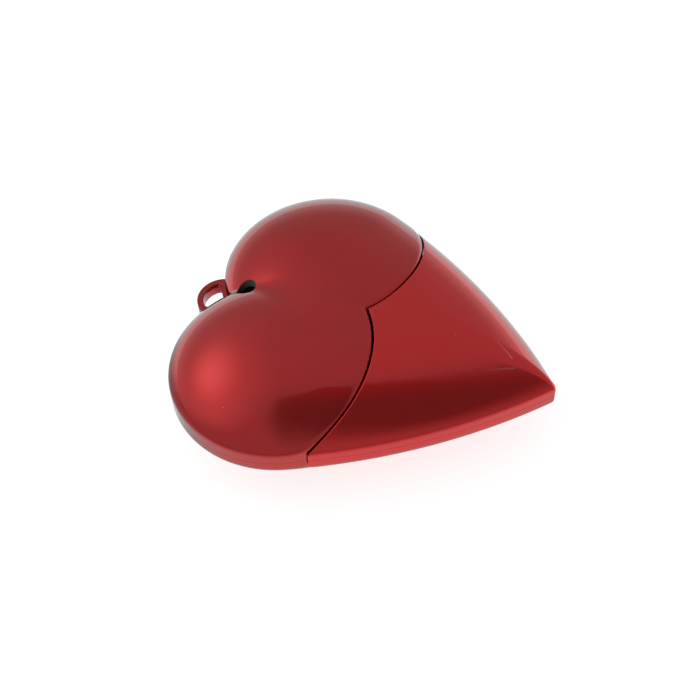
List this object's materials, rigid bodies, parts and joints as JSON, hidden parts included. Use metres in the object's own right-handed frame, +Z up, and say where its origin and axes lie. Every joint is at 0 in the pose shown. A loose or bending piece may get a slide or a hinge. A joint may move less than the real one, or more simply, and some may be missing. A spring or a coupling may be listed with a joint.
{
  "type": "heart-shaped flash drive",
  "caption": "Puffed red heart flash drive in two halves split by a double-arc seam: a lobed body with plug, circuit board and key loop, and a pointed pull-off cap.",
  "frame": {"origin": "on the table, under the middle of the closed part's bounding box", "axes": "+X from the key loop to the pointed tip, which is the way the cap pulls off; +Y to the left lobe; +Z up"},
  "size_m": [0.0536, 0.0494, 0.0146],
  "materials": {
    "red_shell": "metallic red paint under clear gloss",
    "red_loop": "metallic red paint, satin",
    "dark_plastic": "moulded, matt",
    "plug_metal": "nickel plated sheet",
    "insulator": "moulded, matt",
    "gold_contact": "gold plated",
    "board": "green solder mask",
    "chip_black": "moulded epoxy",
    "tinned_leads": "tinned",
    "can_metal": "drawn can",
    "led": "clear resin on a white base",
    "resistor": "ceramic, tinned ends",
    "capacitor": "ceramic, tinned ends"
  },
  "bodies": {
    "body": {"body_top_shell": "red_shell", "body_bottom_shell": "red_shell", "key_loop": "red_loop", "plug_shell": "plug_metal", "plug_insulator": "insulator", "contact_power": "gold_contact", "contact_data_minus": "gold_contact", "contact_data_plus": "gold_contact", "contact_ground": "gold_contact", "circuit_board": "board", "controller_chip": "chip_black", "controller_leads": "tinned_leads", "memory_chip": "chip_black", "memory_leads": "tinned_leads", "crystal": "can_metal", "status_light": "led", "resistors": "resistor", "capacitors": "capacitor"},
    "cap": {"cap_top_shell": "red_shell", "cap_bottom_shell": "red_shell", "cap_liner": "dark_plastic"}
  },
  "joints": [
    {"name": "cap_slide", "type": "slide", "parent": "body", "child": "cap", "axis": [1, 0, 0], "range_m": [0, 0.03]}
  ]
}
